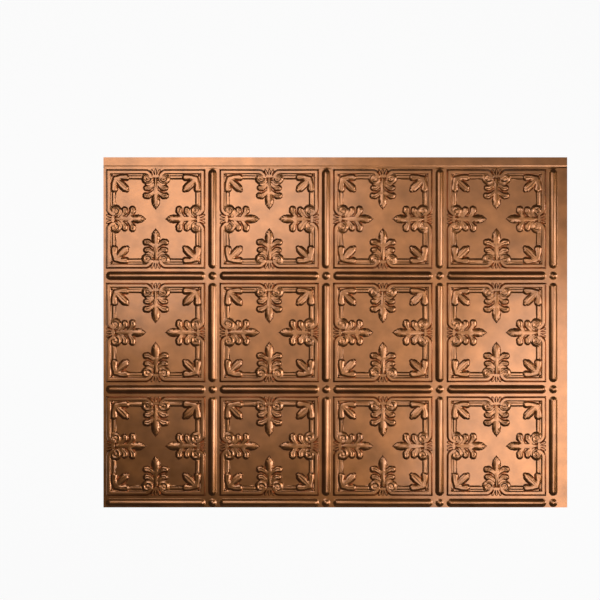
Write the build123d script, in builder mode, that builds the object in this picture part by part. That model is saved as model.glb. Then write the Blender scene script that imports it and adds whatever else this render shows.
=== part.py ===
"""Vinyl backsplash panel: a thin sheet formed with a pressed-tin pattern.

Twelve raised square frames stand in four columns and three rows, with ribs
and round beads between them. Flat lap strips run along the top and right
edges. Millimetres. The sheet lies flat, pattern up, with its back on Z = 0.
"""

import os
from math import atan2, cos, degrees, pi, sin, sqrt

from build123d import *

# Sheet and repeat
SHEET = 0.76
PITCH = 152.4
COLUMNS = 4
ROWS = 3
LAP = 12.7

# Half-round ribs between the frames, and the beads where the ribs would cross.
# RIB_GAP is left open between ribs in line. SHOULDER is the share of the height
# where the flank breaks, CROWN the share of the width that is flat on top
RIB_WIDTH = 11.0
RIB_HEIGHT = 3.0
RIB_GAP = 19.4
RIB_MARGIN = 0.6
BEAD_DIAMETER = 9.4
BEAD_HEIGHT = 2.6
SHOULDER = 0.6
CROWN = 0.25

# Section of the square frame, from the ribs inward
FRAME_GAP = 3.7
OUTER_FLANK = 2.3
CREST_WIDTH = 2.3
CREST_FLANK = 2.0
CREST_RISE = 0.8
LEDGE_WIDTH = 5.0
LEDGE_HEIGHT = 1.6
INNER_FLANK = 3.0

# Palmette and scroll ends, placed by their distance in from the ledge
SCROLLS_IN = 1.3
SCROLLS_APART = 23.0
SCROLL_RADIUS = 7.6
OUTER_LOBES_IN = 15.6
OUTER_LOBES_SPAN = 32.4
OUTER_LOBES_WIDTH = 9.2
INNER_LOBES_IN = 26.7
INNER_LOBES_SPAN = 35.2
INNER_LOBES_WIDTH = 8.6
LEAF_WIDEST_IN = 32.9
LEAF_LENGTH = 42.0
LEAF_WIDTH = 11.6
STEM_WIDTH = 9.6

# Corner leaf, placed along the diagonal in from the corner of the ledge
CORNER_LOBES_IN = 9.3
CORNER_LOBES_APART = 17.2
CORNER_LOBE_SIZE = (14.0, 9.6)
CORNER_LOBE_TILT = 45.0
CORNER_WIDEST_IN = 19.3
CORNER_LENGTH = 27.3
CORNER_WIDTH = 9.6

# The rounds repeat so often that they are drawn with few sides
ROUND_SIDES = 8
CORNER_SIDES = 6

# Worked out from the sizes above
TRIM = RIB_WIDTH / 2 + RIB_MARGIN
LENGTH = COLUMNS * PITCH + LAP
HEIGHT = ROWS * PITCH + LAP
GRID_CENTRE = (-LAP / 2 - TRIM, TRIM - LAP / 2)
FRAME_OUTER = PITCH / 2 - RIB_WIDTH / 2 - FRAME_GAP
CREST_OUTER = FRAME_OUTER - OUTER_FLANK
CREST_INNER = CREST_OUTER - CREST_WIDTH
LEDGE_OUTER = CREST_INNER - CREST_FLANK
LEDGE_INNER = LEDGE_OUTER - LEDGE_WIDTH
FRAME_INNER = LEDGE_INNER - INNER_FLANK
CORNER_AT = LEDGE_INNER * sqrt(2)


def oval(size, sides):
    """Points of an oval around the origin, size along X and Y."""
    turns = [2 * pi * (side + 0.5) / sides for side in range(sides)]
    return [(size[0] / 2 * cos(turn), size[1] / 2 * sin(turn)) for turn in turns]


def pill(straight, width, sides):
    """Points of a round-ended bar along X, its two ends sharing the given sides."""
    steps = sides // 2
    reach = width / 2 / cos(pi / sides)
    turns = [pi * (step + 0.5) / steps - pi / 2 for step in range(steps)]
    right = [(straight / 2 + reach * cos(turn), reach * sin(turn)) for turn in turns]
    left = [(-x, -y) for x, y in right]
    return right + left


def round_width(width, height, level):
    """Width of a round-topped ridge of the given size, at a level above its foot."""
    radius = (width**2 / 4 + height**2) / (2 * height)
    return 2 * sqrt(radius**2 - (radius - height + level) ** 2)


def pointed_leaf(tip, widest, root, width, root_width):
    """Points of a leaf along X, pointed at its tip and straight to its root."""
    near = tip + (widest - tip) * (1 - sin(pi / 3))
    upper = [(near, width / 4), (widest, width / 2), (root, root_width / 2)]
    lower = [(x, -y) for x, y in reversed(upper)]
    return [(tip, 0)] + upper + lower


def frame_ring(level):
    """Square frame swept around its path, its foot at the given level."""
    with BuildSketch(Plane.XZ) as section:
        Polygon(
            (FRAME_INNER, level),
            (FRAME_OUTER, level),
            (CREST_OUTER, level + LEDGE_HEIGHT + CREST_RISE),
            (CREST_INNER, level + LEDGE_HEIGHT + CREST_RISE),
            (LEDGE_OUTER, level + LEDGE_HEIGHT),
            (LEDGE_INNER, level + LEDGE_HEIGHT),
        )
    with BuildLine(Plane.XY.offset(level)) as path:
        Polyline(
            (LEDGE_INNER, 0),
            (LEDGE_INNER, LEDGE_INNER),
            (-LEDGE_INNER, LEDGE_INNER),
            (-LEDGE_INNER, -LEDGE_INNER),
            (LEDGE_INNER, -LEDGE_INNER),
            close=True,
        )
    sweep(section.sketch, path=path.line, transition=Transition.RIGHT)


def ridge(place, turn, straight, width, height, foot):
    """Round-topped ridge with domed ends: a steep flank, then a flatter crown."""
    shoulder = height * SHOULDER
    levels = [0, shoulder, height]
    widths = [width, round_width(width, height, shoulder), width * CROWN]
    for step in range(2):
        rise = levels[step + 1] - levels[step]
        draft = degrees(atan2((widths[step] - widths[step + 1]) / 2, rise))
        with BuildSketch(Plane.XY.offset(foot + levels[step])) as outline:
            with Locations(place):
                Polygon(*pill(straight, widths[step], ROUND_SIDES), rotation=turn)
        extrude(outline.sketch, amount=rise, taper=draft)


def ridges(foot):
    """The rib right of a square, the rib below it and the bead at their crossing."""
    straight = PITCH - RIB_GAP - RIB_WIDTH
    ridge((PITCH / 2, 0), 90, straight, RIB_WIDTH, RIB_HEIGHT, foot)
    ridge((0, -PITCH / 2), 0, straight, RIB_WIDTH, RIB_HEIGHT, foot)
    ridge((PITCH / 2, -PITCH / 2), 0, 0, BEAD_DIAMETER, BEAD_HEIGHT, foot)


# Palmette and scroll ends on the +X side of the frame, the tip toward the middle
with BuildSketch() as palmette:
    tip = LEDGE_INNER - LEAF_LENGTH
    widest = LEDGE_INNER - LEAF_WIDEST_IN
    Polygon(*pointed_leaf(tip, widest, LEDGE_INNER, LEAF_WIDTH, STEM_WIDTH))
    with Locations((LEDGE_INNER - INNER_LOBES_IN, 0)):
        straight = INNER_LOBES_SPAN - INNER_LOBES_WIDTH
        Polygon(*pill(straight, INNER_LOBES_WIDTH, ROUND_SIDES), rotation=90)
    with Locations((LEDGE_INNER - OUTER_LOBES_IN, 0)):
        straight = OUTER_LOBES_SPAN - OUTER_LOBES_WIDTH
        Polygon(*pill(straight, OUTER_LOBES_WIDTH, ROUND_SIDES), rotation=90)
    with Locations((LEDGE_INNER - SCROLLS_IN, 0)):
        with GridLocations(0, SCROLLS_APART, 1, 2):
            RegularPolygon(SCROLL_RADIUS, ROUND_SIDES)

# Corner leaf, drawn along X and turned onto each diagonal later
with BuildSketch() as corner_leaf:
    tip = CORNER_AT - CORNER_LENGTH
    widest = CORNER_AT - CORNER_WIDEST_IN
    Polygon(*pointed_leaf(tip, widest, CORNER_AT, CORNER_WIDTH, CORNER_WIDTH))
    for hand in (1, -1):
        with Locations((CORNER_AT - CORNER_LOBES_IN, hand * CORNER_LOBES_APART / 2)):
            Polygon(*oval(CORNER_LOBE_SIZE, CORNER_SIDES), rotation=-hand * CORNER_LOBE_TILT)

# Everything that rises above the sheet on one square
with BuildPart() as relief:
    frame_ring(SHEET)
    with BuildSketch(Plane.XY.offset(SHEET)):
        with PolarLocations(0, 4):
            add(palmette.sketch)
        with PolarLocations(0, 4, start_angle=45):
            add(corner_leaf.sketch)
    extrude(amount=LEDGE_HEIGHT)
    ridges(SHEET)

# The hollows behind one square, the same forms one sheet thickness lower
with BuildPart() as hollow:
    frame_ring(0)
    ridges(0)

with BuildPart() as panel:
    Box(LENGTH, HEIGHT, SHEET, align=(Align.CENTER, Align.CENTER, Align.MIN))
    with Locations(GRID_CENTRE):
        with GridLocations(PITCH, PITCH, COLUMNS, ROWS):
            add(relief.part)
            add(hollow.part, mode=Mode.SUBTRACT)

panel.part.label = "backsplash_panel"
os.makedirs("parts", exist_ok=True)
export_step(panel.part, "parts/backsplash_panel.step")
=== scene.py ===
"""Dresses the vinyl backsplash panel: the formed sheet with its full relief, bronze face and plain back.

The relief is one height function on a quarter of a pressed square. The quarter is meshed finely, thinned
where it is flat, and mirrored into all the squares of the panel. Shapes are worked out in millimetres,
with U from the middle of a square toward one of its sides and V along that side.
"""

import math

import bmesh
import bpy
import numpy as np
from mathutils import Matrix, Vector


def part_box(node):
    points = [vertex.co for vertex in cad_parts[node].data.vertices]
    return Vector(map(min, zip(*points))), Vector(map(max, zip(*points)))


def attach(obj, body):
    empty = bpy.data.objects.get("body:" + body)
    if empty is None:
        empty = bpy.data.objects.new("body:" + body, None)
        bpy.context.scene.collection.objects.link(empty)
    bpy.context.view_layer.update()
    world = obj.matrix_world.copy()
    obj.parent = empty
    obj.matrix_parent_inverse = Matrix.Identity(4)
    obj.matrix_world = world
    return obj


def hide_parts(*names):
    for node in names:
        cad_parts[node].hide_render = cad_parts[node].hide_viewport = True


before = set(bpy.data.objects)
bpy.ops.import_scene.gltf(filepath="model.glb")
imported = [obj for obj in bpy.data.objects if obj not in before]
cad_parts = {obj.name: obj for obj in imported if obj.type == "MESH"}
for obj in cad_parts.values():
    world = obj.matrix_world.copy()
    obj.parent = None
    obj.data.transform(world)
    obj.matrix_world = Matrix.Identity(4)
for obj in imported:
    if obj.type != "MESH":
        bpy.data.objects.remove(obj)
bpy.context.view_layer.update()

NODE = "backsplash_panel"
MM = 0.001
LOW = [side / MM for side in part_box(NODE)[0]]
HIGH = [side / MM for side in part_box(NODE)[1]]

# Sheet and repeat, as in the solid
SHEET = 0.76
PITCH = 152.4
COLUMNS = 4
ROWS = 3
LAP = 12.7
TRIM = 6.1
HALF = PITCH / 2
FIRST_COLUMN = LOW[0] + HALF - TRIM
FIRST_ROW = LOW[1] + HALF + TRIM
LAP_LINES = (HIGH[0] - LAP, HIGH[1] - LAP)

# Ribs between the squares, and the bead at each crossing. ROUNDING shapes their round tops
RIB_RADIUS = 6.0
RIB_STRAIGHT = 61.0
RIB_HEIGHT = 3.0
BEAD_RADIUS = 5.8
BEAD_HEIGHT = 2.6
ROUNDING = 1.25

# Moulding of the frame: an outer crest, a groove and an inner bar.
# Each edge is where its slope is halfway up
OUTER_EDGE = 65.8
OUTER_SLOPE = 3.0
CREST_HEIGHT = 2.4
CREST_INNER_EDGE = 60.7
GROOVE_LEVEL = 0.9
BAR_OUTER_EDGE = 57.9
BAR_HEIGHT = 1.5
BAR_END = 38.0
MOULDING_SLOPE = 2.0
INNER_EDGE = 53.8
INNER_SLOPE = 2.8

# Scroll where the moulding rolls in at the middle of each side
CURL_CENTRE = (54.8, 14.5)
SCROLL_CENTRE = (54.4, 11.0)
SCROLL_RADIUS = 8.2
SCROLL_SLOPE = 1.8
SCROLL_HEIGHT = 1.4
RIDGE_HEIGHT = 1.0
RIDGE_WIDTH = 1.4
RIDGE_START = 6.4
RIDGE_STEP = 3.4
EYE_RADIUS = 2.0

# Carved lobes: points down the middle of each, with the half-width there
CENTRE_LEAF = (
    [(13.2, 0), (18.0, 0), (21.5, 0), (24.5, 0), (28.5, 0), (34.0, 0), (53.0, 0)],
    [0.2, 3.3, 5.2, 5.8, 5.1, 3.4, 2.9],
)
SIDE_LOBES = (
    ([(37.4, 2.0), (33.2, 6.6), (30.9, 10.4), (31.3, 13.2)], [1.8, 3.3, 4.3, 4.4]),
    ([(47.4, 2.0), (43.6, 6.2), (41.2, 9.6), (41.6, 12.6)], [1.7, 3.1, 4.0, 4.1]),
    ([(50.4, 3.4), (47.6, 6.2), (46.0, 9.6), (46.8, 12.0)], [1.3, 1.6, 1.6, 1.2]),
)
CLASP_BARS = (
    ([(57.2, 0), (57.2, 3.4)], [2.4, 2.0]),
    ([(58.6, 0), (65.0, 0)], [1.4, 1.2]),
    ([(58.6, 2.4), (65.0, 5.2)], [1.2, 1.2]),
)
CORNER_LOBES = (
    ([(54.0, 53.0), (56.2, 46.6), (56.0, 40.0)], [4.4, 4.2, 5.0]),
    (
        [(54.0, 54.0), (50.0, 50.0), (45.5, 45.5), (41.5, 41.5), (38.6, 38.6)],
        [4.4, 4.2, 5.5, 5.3, 2.8],
    ),
)

# Section of the carved lobes. GROOVE_DEPTH is for the side lobes and VEIN_DEPTH for the corner ones
EDGE_SLOPE = 1.4
LEAF_HEIGHT = 1.5
LEAF_ROOF = 0.7
CORNER_HEIGHT = 2.0
CLASP_HEIGHT = 1.9
LOBE_SWELL = 0.9
SWELL_DEPTH = 3.6
GROOVE_DEPTH = 0.8
GROOVE_WIDTH = 1.0
VEIN_DEPTH = 0.3

# Ball in each corner of the frame, on the diagonal
BALL_AT = 58.8
BALL_RADIUS = 2.8
BALL_HEIGHT = 2.8

# Crease along the top lap line
CREASE_WIDTH = 1.0
CREASE_DEPTH = 0.5

# Meshing: grid of the quarter before thinning, and triangles of the quarter after it.
# The back is the face drawn in by BACK_INSET. What rises less than FLAT_WITHIN is made flat.
# Places are rounded to PLACE_DIGITS after the cuts, so that every run gives the same ones
GRID = 0.3
FRONT_FACES = 3200
BACK_FACES = 640
BACK_INSET = 1.1
BACK_DIRECTIONS = 12
FLAT_WITHIN = 0.15
UNFOLD_PASSES = 4
SAME_PLACE = GRID / 10
PLACE_DIGITS = 4

# Shading: triangles within LEVEL_WITHIN of level are shaded as level, and the others take the relief's
# own normals where these are within SMOOTH_WITHIN of the triangle's. The relief's normals come from
# its heights NORMAL_STEP to each side
NORMAL_STEP = 0.25
LEVEL_WITHIN = math.radians(5.0)
SMOOTH_WITHIN = math.radians(32.0)

# Materials. Each noise is given by its scale, in repeats to a metre, and its detail, and mostly keeps
# to NOISE_RANGE. Bump depths are in metres
NOISE_RANGE = (0.3, 0.7)
BRONZE_CLOUDS = (45.0, 7.0)
BRONZE_GRAIN = (1100.0, 2.0)
BRONZE_WAVES = (18.0, 2.0)
BRONZE_COLOURS = ((0.325, 0.114, 0.022), (0.485, 0.176, 0.044))
BRONZE_ROUGHNESS = (0.30, 0.40)
BRONZE_GRAIN_STRENGTH = 0.12
FILM_IOR = 1.6
FILM_ROUGHNESS = 0.22
BACK_CLOUDS = (25.0, 6.0)
BACK_GRAIN = (700.0, 3.0)
BACK_COLOURS = ((0.085, 0.062, 0.048), (0.12, 0.09, 0.07))
BACK_ROUGHNESS = (0.5, 0.62)
BACK_GRAIN_STRENGTH = 0.15
GRAIN_DEPTH = 0.0002
WAVE_DEPTH = 0.001
WAVE_STRENGTH = 1.0
FLOOR_GREY = 0.85
FLOOR_ROUGHNESS = 0.9
FLOOR_GLOW = 0.94

# Floor and camera, in metres, and the level of the world's light
FLOOR_REACH = 12.0
FLOOR_LEVEL = -0.0001
VIEW_WIDTH = 0.8054
VIEW_DISTANCE = 2.6
VIEW_CENTRE = (-0.0474, 0.0434)
WORLD_GREY = 0.045


def ease(t):
    """Smooth rise from 0 to 1 as t goes from 0 to 1."""
    t = np.clip(t, 0.0, 1.0)
    return t * t * (3.0 - 2.0 * t)


def lobe(u, v, form):
    """Depth inside a lobe that follows its points, and distance from its centre line."""
    points, radii = form
    depth = np.full_like(u, -PITCH)
    away = np.full_like(u, PITCH)
    for start, end, start_radius, end_radius in zip(points, points[1:], radii, radii[1:]):
        run_u = end[0] - start[0]
        run_v = end[1] - start[1]
        share = ((u - start[0]) * run_u + (v - start[1]) * run_v) / (run_u**2 + run_v**2)
        share = np.clip(share, 0.0, 1.0)
        line = np.hypot(u - start[0] - share * run_u, v - start[1] - share * run_v)
        depth = np.maximum(depth, start_radius + share * (end_radius - start_radius) - line)
        away = np.minimum(away, line)
    return depth, away


def step_up(depth, slope):
    """Share of a raised form's height at a depth inside its edge."""
    return ease(depth / slope + 0.5)


def swelling_lobe(u, v, form, height, groove_depth):
    """Height of a lobe with a steep edge, a swelling body and a groove down its middle."""
    depth, away = lobe(u, v, form)
    groove = groove_depth * np.exp(-((away / GROOVE_WIDTH) ** 2))
    return height * step_up(depth, EDGE_SLOPE) + (LOBE_SWELL - groove) * ease(depth / SWELL_DEPTH)


def roofed_lobe(u, v, form, height):
    """Height of a lobe with a steep edge and a spine down its middle."""
    depth, _ = lobe(u, v, form)
    roof = LEAF_ROOF * np.clip(depth / max(form[1]), 0.0, 1.0)
    return height * step_up(depth, EDGE_SLOPE) + roof


def flat_lobe(u, v, form, height):
    """Height of a lobe with a steep edge and a flat top."""
    depth, _ = lobe(u, v, form)
    return height * step_up(depth, EDGE_SLOPE)


def dome(distance, radius, height):
    """Round-topped ridge: its height at a distance from its middle line."""
    return height * (1.0 - np.clip(distance / radius, 0.0, 1.0) ** 2) ** ROUNDING


def moulding(u, v):
    """Square frame, with its outer edge curling in to the scroll at the middle of the side."""
    curl = OUTER_EDGE - CURL_CENTRE[0] - np.hypot(u - CURL_CENTRE[0], v - CURL_CENTRE[1])
    inward = np.where(v < CURL_CENTRE[1], curl, OUTER_EDGE - u)
    past_crest = inward - OUTER_EDGE + CREST_INNER_EDGE
    past_groove = inward - OUTER_EDGE + BAR_OUTER_EDGE
    crest = CREST_HEIGHT * step_up(inward, OUTER_SLOPE)
    fall = (CREST_HEIGHT - GROOVE_LEVEL) * step_up(past_crest, MOULDING_SLOPE)
    bar = (BAR_HEIGHT - GROOVE_LEVEL) * step_up(past_groove, MOULDING_SLOPE)
    off_scroll = np.hypot(u - SCROLL_CENTRE[0], v - SCROLL_CENTRE[1]) - SCROLL_RADIUS
    bar *= step_up(off_scroll, SCROLL_SLOPE) * step_up(BAR_END - v, MOULDING_SLOPE)
    return (crest - fall + bar) * step_up(u - INNER_EDGE, INNER_SLOPE)


def scroll(u, v):
    """Rolled end of the moulding: a disc with a ridge that winds in to its middle."""
    across = u - SCROLL_CENTRE[0]
    along = v - SCROLL_CENTRE[1]
    radius = np.hypot(across, along)
    turn = np.mod(np.arctan2(across, along) / (2 * math.pi) - 0.5, 1.0)
    eye = np.exp(-((radius / EYE_RADIUS) ** 2))
    ridge = np.exp(-(((radius - RIDGE_START + RIDGE_STEP * turn) / RIDGE_WIDTH) ** 2))
    top = SCROLL_HEIGHT + RIDGE_HEIGHT * np.maximum(eye, ridge)
    return top * step_up(SCROLL_RADIUS - radius, SCROLL_SLOPE)


def relief(x, y):
    """Height above the flat of the sheet on a quarter square, the same on both sides of its diagonal."""
    u = np.maximum(x, y)
    v = np.minimum(x, y)
    forms = [moulding(u, v), scroll(u, v), roofed_lobe(u, v, CENTRE_LEAF, LEAF_HEIGHT)]
    forms += [swelling_lobe(u, v, form, LEAF_HEIGHT, GROOVE_DEPTH) for form in SIDE_LOBES]
    forms += [flat_lobe(u, v, form, CLASP_HEIGHT) for form in CLASP_BARS]
    forms += [swelling_lobe(u, v, form, CORNER_HEIGHT, VEIN_DEPTH) for form in CORNER_LOBES]
    forms.append(dome(np.hypot(u - BALL_AT, v - BALL_AT), BALL_RADIUS, BALL_HEIGHT))
    forms.append(dome(np.hypot(u - HALF, np.maximum(v - RIB_STRAIGHT, 0.0)), RIB_RADIUS, RIB_HEIGHT))
    forms.append(dome(np.hypot(u - HALF, v - HALF), BEAD_RADIUS, BEAD_HEIGHT))
    return np.maximum.reduce(forms)


def mirrored(x):
    """Places just past the sides of the quarter square, mirrored back into it."""
    return HALF - np.abs(HALF - np.abs(x))


def hollow(x, y):
    """Height of the back on a quarter square: the relief, with all its forms drawn in."""
    heights = [relief(x, y)]
    for turn in np.linspace(0.0, 2 * math.pi, BACK_DIRECTIONS, endpoint=False):
        beside_x = mirrored(x + BACK_INSET * math.cos(turn))
        beside_y = mirrored(y + BACK_INSET * math.sin(turn))
        heights.append(relief(beside_x, beside_y))
    return np.minimum.reduce(heights)


def crease_depth(y):
    """Depth of the crease that runs along the top lap line."""
    return CREASE_DEPTH * np.exp(-(((y - LAP_LINES[1]) / CREASE_WIDTH) ** 2))


def panel_height(x, y, form):
    """Height of a form above the flat anywhere on the panel, folded back onto the quarter square."""
    fold_x = np.abs(np.mod(x - FIRST_COLUMN + HALF, PITCH) - HALF)
    fold_y = np.abs(np.mod(y - FIRST_ROW + HALF, PITCH) - HALF)
    pressed = (x < LAP_LINES[0]) & (y < LAP_LINES[1])
    return np.where(pressed, form(fold_x, fold_y), 0.0)


def normals_up(verts, form):
    """Upward normals of a form at the vertices, of any length."""
    x, y = verts[:, 0], verts[:, 1]
    rise_x = panel_height(x + NORMAL_STEP, y, form) - panel_height(x - NORMAL_STEP, y, form)
    rise_y = panel_height(x, y + NORMAL_STEP, form) - panel_height(x, y - NORMAL_STEP, form)
    return np.column_stack([-rise_x, -rise_y, np.full(len(verts), 2 * NORMAL_STEP)])


def grid_mesh(form):
    """Mesh of a form on a quarter square, as an even grid with two triangles to a cell."""
    count = round(HALF / GRID) + 1
    line = np.linspace(0.0, HALF, count)
    x, y = np.meshgrid(line, line, indexing="ij")
    points = np.stack([x, y, form(x, y)], axis=-1).reshape(-1, 3)
    corner = (np.arange(count - 1)[:, None] * count + np.arange(count - 1)).ravel()
    lower = np.stack([corner, corner + count, corner + count + 1], axis=-1)
    upper = np.stack([corner, corner + count + 1, corner + 1], axis=-1)
    mesh = bpy.data.meshes.new("quarter")
    mesh.from_pydata(points.tolist(), [], np.concatenate([lower, upper]).tolist())
    return mesh


def thinned(mesh, faces):
    """Vertices and triangles of a mesh, thinned to about the given number of triangles."""
    patch = bpy.data.objects.new("quarter", mesh)
    bpy.context.scene.collection.objects.link(patch)
    thin = patch.modifiers.new("thin", "DECIMATE")
    thin.ratio = faces / len(mesh.polygons)
    thin.use_collapse_triangulate = True
    result = patch.evaluated_get(bpy.context.evaluated_depsgraph_get()).to_mesh()
    verts = np.array([vertex.co[:] for vertex in result.vertices])
    tris = np.array([face.vertices[:] for face in result.polygons])
    bpy.data.objects.remove(patch)
    return verts, tris


def squared_up(verts, tris):
    """The vertices with the border back on the sides of the quarter, and the nearly flat made flat."""
    sides = np.sort(np.concatenate([tris[:, :2], tris[:, 1:], tris[:, ::2]]), axis=1)
    ends, uses = np.unique(sides, axis=0, return_counts=True)
    border = np.isin(np.arange(len(verts)), ends[uses == 1])
    squared = verts.copy()
    for axis in (0, 1):
        for wall in (0.0, HALF):
            squared[border & (np.abs(verts[:, axis] - wall) < GRID), axis] = wall
    squared[verts[:, 2] < FLAT_WITHIN, 2] = 0.0
    return squared


def flat_length(edge):
    """Length of an edge seen from above."""
    return (edge.verts[0].co - edge.verts[1].co).xy.length


def unfolded(verts, tris):
    """The triangles with the edges of those that thinning folded over turned, so that all face up."""
    surface = bmesh.new()
    points = [surface.verts.new(vertex) for vertex in verts]
    for tri in tris:
        surface.faces.new([points[index] for index in tri])
    for _ in range(UNFOLD_PASSES):
        surface.normal_update()
        for face in [face for face in surface.faces if face.normal.z <= 0]:
            if face.is_valid:
                longest = max(face.edges, key=flat_length)
                if not longest.is_boundary:
                    bmesh.utils.edge_rotate(longest)
    surface.verts.index_update()
    turned = np.array([[vertex.index for vertex in face.verts] for face in surface.faces])
    surface.free()
    return turned


def quarter(form, faces):
    """Vertices and triangles of a form on a quarter square, with about the given number of triangles."""
    mesh = grid_mesh(form)
    verts, tris = thinned(mesh, faces)
    bpy.data.meshes.remove(mesh)
    verts = squared_up(verts, tris)
    return verts, unfolded(verts, tris)


def squares(form, faces):
    """The quarter mirrored into every square, and cut to the lap lines and the two trimmed edges."""
    verts, tris = quarter(form, faces)
    places = []
    corners = []
    for column in range(COLUMNS + 1):
        for row in range(-1, ROWS):
            centre = (FIRST_COLUMN + PITCH * column, FIRST_ROW + PITCH * row, 0)
            for mirror in ((1, 1), (-1, 1), (-1, -1), (1, -1)):
                corners.append(tris[:, :: mirror[0] * mirror[1]] + len(verts) * len(places))
                places.append(verts * (*mirror, 1) + centre)
    mesh = bpy.data.meshes.new("squares")
    mesh.from_pydata(np.concatenate(places).tolist(), [], np.concatenate(corners).tolist())
    surface = bmesh.new()
    surface.from_mesh(mesh)
    bpy.data.meshes.remove(mesh)
    bmesh.ops.remove_doubles(surface, verts=surface.verts, dist=SAME_PLACE)
    laps = (*LAP_LINES, 0)
    for place, outward in ((LOW, (-1, 0, 0)), (LOW, (0, -1, 0)), (laps, (1, 0, 0)), (laps, (0, 1, 0))):
        bmesh.ops.bisect_plane(
            surface,
            geom=surface.verts[:] + surface.edges[:] + surface.faces[:],
            plane_co=place,
            plane_no=outward,
            clear_outer=True,
        )
    for vertex in surface.verts:
        vertex.co = [round(side, PLACE_DIGITS) for side in vertex.co]
    return surface


def add_laps(surface):
    """Grows the flat strips along the right and top edges, in narrow steps over the crease."""
    for axis, steps in ((0, [LAP]), (1, [CREASE_WIDTH, CREASE_WIDTH, LAP - 2 * CREASE_WIDTH])):
        line = LAP_LINES[axis]
        for step in steps:
            edge = [
                side for side in surface.edges
                if side.is_boundary and all(abs(end.co[axis] - line) < SAME_PLACE for end in side.verts)
            ]
            grown = bmesh.ops.extrude_edge_only(surface, edges=edge)["geom"]
            line += step
            for item in grown:
                if isinstance(item, bmesh.types.BMVert):
                    item.co[axis] = line
    bmesh.ops.dissolve_degenerate(surface, dist=SAME_PLACE, edges=surface.edges)
    bmesh.ops.triangulate(surface, faces=surface.faces)


def in_order(verts, tris):
    """The vertices in the order of their places and the triangles in theirs, the same in every run."""
    order = np.lexsort(verts.T)
    rank = np.empty_like(order)
    rank[order] = np.arange(len(order))
    tris = rank[tris]
    turns = (tris.argmin(axis=1)[:, None] + np.arange(3)) % 3
    tris = np.take_along_axis(tris, turns, axis=1)
    return verts[order], tris[np.lexsort(tris.T)]


def triangle_normals(verts, tris):
    """Normals of the triangles themselves, of any length."""
    one_side = verts[tris[:, 1]] - verts[tris[:, 0]]
    other_side = verts[tris[:, 2]] - verts[tris[:, 0]]
    return np.cross(one_side, other_side)


def sheet_side(form, faces, level, facing):
    """Vertices and triangles of one side of the sheet at a level, facing up (1) or down (-1)."""
    surface = squares(form, faces)
    add_laps(surface)
    surface.verts.index_update()
    verts = np.array([vertex.co[:] for vertex in surface.verts])
    tris = np.array([[vertex.index for vertex in face.verts] for face in surface.faces])
    surface.free()
    verts, tris = in_order(verts, tris)
    turned_over = triangle_normals(verts, tris)[:, 2] * facing < 0
    tris[turned_over] = tris[turned_over][:, ::-1]
    verts[:, 2] += level
    return verts, tris


def zipped(upper, lower):
    """Triangles between two lines of (place along, vertex), in the order of their places."""
    tris = []
    i = j = 0
    while i + j < len(upper) + len(lower) - 2:
        lower_done = j == len(lower) - 1
        upper_next = i < len(upper) - 1 and (lower_done or upper[i + 1][0] <= lower[j + 1][0])
        third = upper[i + 1][1] if upper_next else lower[j + 1][1]
        tris.append([upper[i][1], third, lower[j][1]])
        i += upper_next
        j += not upper_next
    return np.array(tris)


def rim(front, back):
    """Triangles that close the edge of the sheet, side by side, between its front and back vertices."""
    tris = []
    for axis in (0, 1):
        for bound, turn in ((LOW, 1), (HIGH, -1)):
            lines = []
            for verts, first in ((front, 0), (back, len(front))):
                on_edge = np.flatnonzero(np.abs(verts[:, axis] - bound[axis]) < SAME_PLACE)
                order = on_edge[np.argsort(verts[on_edge, 1 - axis])]
                lines.append([(verts[index, 1 - axis], first + index) for index in order])
            tris.append(zipped(*lines)[:, :: turn * (1 - 2 * axis)])
    return np.concatenate(tris)


def shading_normals(verts, tris, smooth):
    """Normals at the triangles' corners: the smooth ones where they are near the triangle's own."""
    own = triangle_normals(verts, tris)
    own /= np.linalg.norm(own, axis=1, keepdims=True)
    normals = (smooth / np.linalg.norm(smooth, axis=1, keepdims=True))[tris]
    apart = np.einsum("fci,fi->fc", normals, own) < math.cos(SMOOTH_WITHIN)
    normals[apart] = np.repeat(own[:, None, :], 3, axis=1)[apart]
    level = np.abs(own[:, 2]) > math.cos(LEVEL_WITHIN)
    normals[level] = np.sign(own[level, 2])[:, None, None] * (0, 0, 1)
    return normals.reshape(-1, 3)


def make_panel():
    """The whole sheet as one closed mesh, bronze in front and plain on the rim and the back."""
    front, front_tris = sheet_side(relief, FRONT_FACES, SHEET, 1)
    front[:, 2] -= crease_depth(front[:, 1])
    back, back_tris = sheet_side(hollow, BACK_FACES, 0.0, -1)
    rim_tris = rim(front, back)
    verts = np.concatenate([front, back])
    tris = np.concatenate([front_tris, back_tris + len(front), rim_tris])
    front_smooth = normals_up(front, relief)
    front_smooth[:, 1] += crease_depth(front[:, 1] + NORMAL_STEP)
    front_smooth[:, 1] -= crease_depth(front[:, 1] - NORMAL_STEP)
    smooth = np.concatenate([front_smooth, -normals_up(back, hollow)])
    mesh = bpy.data.meshes.new("panel")
    mesh.from_pydata((verts * MM).tolist(), [], tris.tolist())
    order = np.arange(len(tris))
    mesh.polygons.foreach_set("use_smooth", order < len(tris) - len(rim_tris))
    mesh.polygons.foreach_set("material_index", (order >= len(front_tris)).astype(np.int32))
    mesh.edges.foreach_set("use_edge_sharp", np.ones(len(mesh.edges), dtype=bool))
    mesh.normals_split_custom_set(shading_normals(verts, tris, smooth).tolist())
    mesh.materials.append(bronze_face())
    mesh.materials.append(plain_back())
    panel = bpy.data.objects.new("panel", mesh)
    bpy.context.scene.collection.objects.link(panel)
    return panel


def new_material(name):
    """Node material, its node tree and its shader."""
    material = bpy.data.materials.new(name)
    material.use_nodes = True
    return material, material.node_tree, material.node_tree.nodes["Principled BSDF"]


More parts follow.
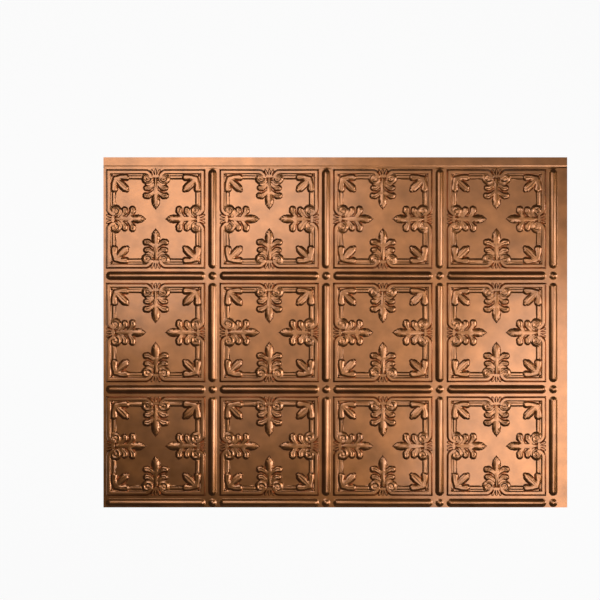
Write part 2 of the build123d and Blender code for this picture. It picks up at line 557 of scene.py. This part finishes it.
def noise(tree, scale, detail):
    """Noise texture on the object's own coordinates."""
    coordinates = tree.nodes.new("ShaderNodeTexCoord")
    texture = tree.nodes.new("ShaderNodeTexNoise")
    texture.inputs["Scale"].default_value = scale
    texture.inputs["Detail"].default_value = detail
    tree.links.new(coordinates.outputs["Object"], texture.inputs["Vector"])
    return texture.outputs["Fac"]


def ramp(tree, source, places, colours):
    """Colour ramp between two colours as the source goes from one place to the other."""
    node = tree.nodes.new("ShaderNodeValToRGB")
    for element, place, colour in zip(node.color_ramp.elements, places, colours):
        element.position = place
        element.color = (*colour, 1.0)
    tree.links.new(source, node.inputs["Fac"])
    return node.outputs["Color"]


def map_range(tree, source, source_range, result_range):
    """The source's range mapped onto another range."""
    node = tree.nodes.new("ShaderNodeMapRange")
    sockets = ("From Min", "From Max", "To Min", "To Max")
    for socket, value in zip(sockets, (*source_range, *result_range)):
        node.inputs[socket].default_value = value
    tree.links.new(source, node.inputs["Value"])
    return node.outputs["Result"]


def bump(tree, height, strength, depth):
    """Bump node driven by a height."""
    node = tree.nodes.new("ShaderNodeBump")
    node.inputs["Strength"].default_value = strength
    node.inputs["Distance"].default_value = depth
    tree.links.new(height, node.inputs["Height"])
    return node


def add_vinyl(tree, shader, clouds, colours, grain, roughness, strength):
    """Gives a shader clouds in its colour and fine grain in its gloss. Returns the grain's bump."""
    colour = ramp(tree, noise(tree, *clouds), NOISE_RANGE, colours)
    tree.links.new(colour, shader.inputs["Base Color"])
    grain_height = noise(tree, *grain)
    tree.links.new(map_range(tree, grain_height, NOISE_RANGE, roughness), shader.inputs["Roughness"])
    grain_bump = bump(tree, grain_height, strength, GRAIN_DEPTH)
    tree.links.new(grain_bump.outputs["Normal"], shader.inputs["Normal"])
    return grain_bump


def bronze_face():
    """Satin metallic bronze: clouds of lighter and redder bronze, slight waves and a clear film."""
    material, tree, shader = new_material("bronze_face")
    shader.inputs["Metallic"].default_value = 1.0
    shader.inputs["Coat Weight"].default_value = 1.0
    shader.inputs["Coat IOR"].default_value = FILM_IOR
    shader.inputs["Coat Roughness"].default_value = FILM_ROUGHNESS
    grain_bump = add_vinyl(
        tree, shader, BRONZE_CLOUDS, BRONZE_COLOURS, BRONZE_GRAIN, BRONZE_ROUGHNESS, BRONZE_GRAIN_STRENGTH
    )
    waves = bump(tree, noise(tree, *BRONZE_WAVES), WAVE_STRENGTH, WAVE_DEPTH)
    tree.links.new(waves.outputs["Normal"], grain_bump.inputs["Normal"])
    return material


def plain_back():
    """Bare vinyl of the back and the cut edge: dull brown, faintly mottled."""
    material, tree, shader = new_material("plain_back")
    add_vinyl(tree, shader, BACK_CLOUDS, BACK_COLOURS, BACK_GRAIN, BACK_ROUGHNESS, BACK_GRAIN_STRENGTH)
    return material


def floor_white():
    """Pale matt floor that reads white to the camera and in reflections, and keeps a soft shadow."""
    material, tree, shader = new_material("floor_white")
    shader.inputs["Base Color"].default_value = (FLOOR_GREY, FLOOR_GREY, FLOOR_GREY, 1.0)
    shader.inputs["Roughness"].default_value = FLOOR_ROUGHNESS
    path = tree.nodes.new("ShaderNodeLightPath")
    seen = path.outputs["Is Camera Ray"]
    for ray in ("Is Glossy Ray", "Is Transmission Ray"):
        either = tree.nodes.new("ShaderNodeMath")
        either.operation = "MAXIMUM"
        tree.links.new(seen, either.inputs[0])
        tree.links.new(path.outputs[ray], either.inputs[1])
        seen = either.outputs["Value"]
    glow = tree.nodes.new("ShaderNodeEmission")
    mix = tree.nodes.new("ShaderNodeMixShader")
    tree.links.new(map_range(tree, seen, (0.0, 1.0), (0.0, FLOOR_GLOW)), mix.inputs["Fac"])
    tree.links.new(shader.outputs["BSDF"], mix.inputs[1])
    tree.links.new(glow.outputs["Emission"], mix.inputs[2])
    tree.links.new(mix.outputs["Shader"], tree.nodes["Material Output"].inputs["Surface"])
    return material


def make_floor():
    """Wide level floor just under the sheet."""
    corners = np.array([(-1, -1), (1, -1), (1, 1), (-1, 1)]) * FLOOR_REACH
    mesh = bpy.data.meshes.new("floor")
    mesh.from_pydata([(x, y, FLOOR_LEVEL) for x, y in corners], [], [(0, 1, 2, 3)])
    mesh.materials.append(floor_white())
    floor = bpy.data.objects.new("floor", mesh)
    bpy.context.scene.collection.objects.link(floor)
    return floor


def soft_light(name, place, target, size, energy, spread=180.0):
    """Rectangular soft light at a place, aimed at a target. Metres, watts and degrees."""
    data = bpy.data.lights.new(name, "AREA")
    data.shape = "RECTANGLE"
    data.size, data.size_y = size
    data.energy = energy
    data.spread = math.radians(spread)
    light = bpy.data.objects.new(name, data)
    light.location = place
    light.rotation_euler = (Vector(target) - Vector(place)).to_track_quat("-Z", "Y").to_euler()
    light.visible_camera = False
    bpy.context.scene.collection.objects.link(light)


# The sheet
panel = make_panel()
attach(panel, "root")
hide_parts(NODE)

# Floor
floor = make_floor()

# Camera straight above the sheet, with the sheet low and to the right in its frame
camera_data = bpy.data.cameras.new("camera")
camera_data.lens = camera_data.sensor_width * VIEW_DISTANCE / VIEW_WIDTH
camera = bpy.data.objects.new("camera", camera_data)
camera.location = (*VIEW_CENTRE, VIEW_DISTANCE)
bpy.context.scene.collection.objects.link(camera)
bpy.context.scene.camera = camera

# Soft lights: three overhead, and one to the right that picks out the slopes facing it
soft_light("overhead", (0.08, 0.08, 1.2), (0.08, 0.08, 0.0), size=(0.8, 0.6), energy=0.95)
soft_light("overhead_left", (-0.26, 0.28, 0.8), (-0.24, 0.24, 0.0), size=(0.46, 0.46), energy=1.7)
soft_light("overhead_right", (0.44, -0.2, 0.8), (0.4, -0.18, 0.0), size=(0.46, 0.46), energy=2.0)
soft_light("side_right", (0.95, 0.0, 1.0), (-0.3, 0.0, 0.0), size=(0.5, 1.2), energy=0.7, spread=40.0)

# World, and the plain view transform
world = bpy.data.worlds.new("world")
world.use_nodes = True
background = world.node_tree.nodes["Background"]
background.inputs["Color"].default_value = (WORLD_GREY, WORLD_GREY, WORLD_GREY, 1.0)
bpy.context.scene.world = world
bpy.context.scene.view_settings.view_transform = "Standard"
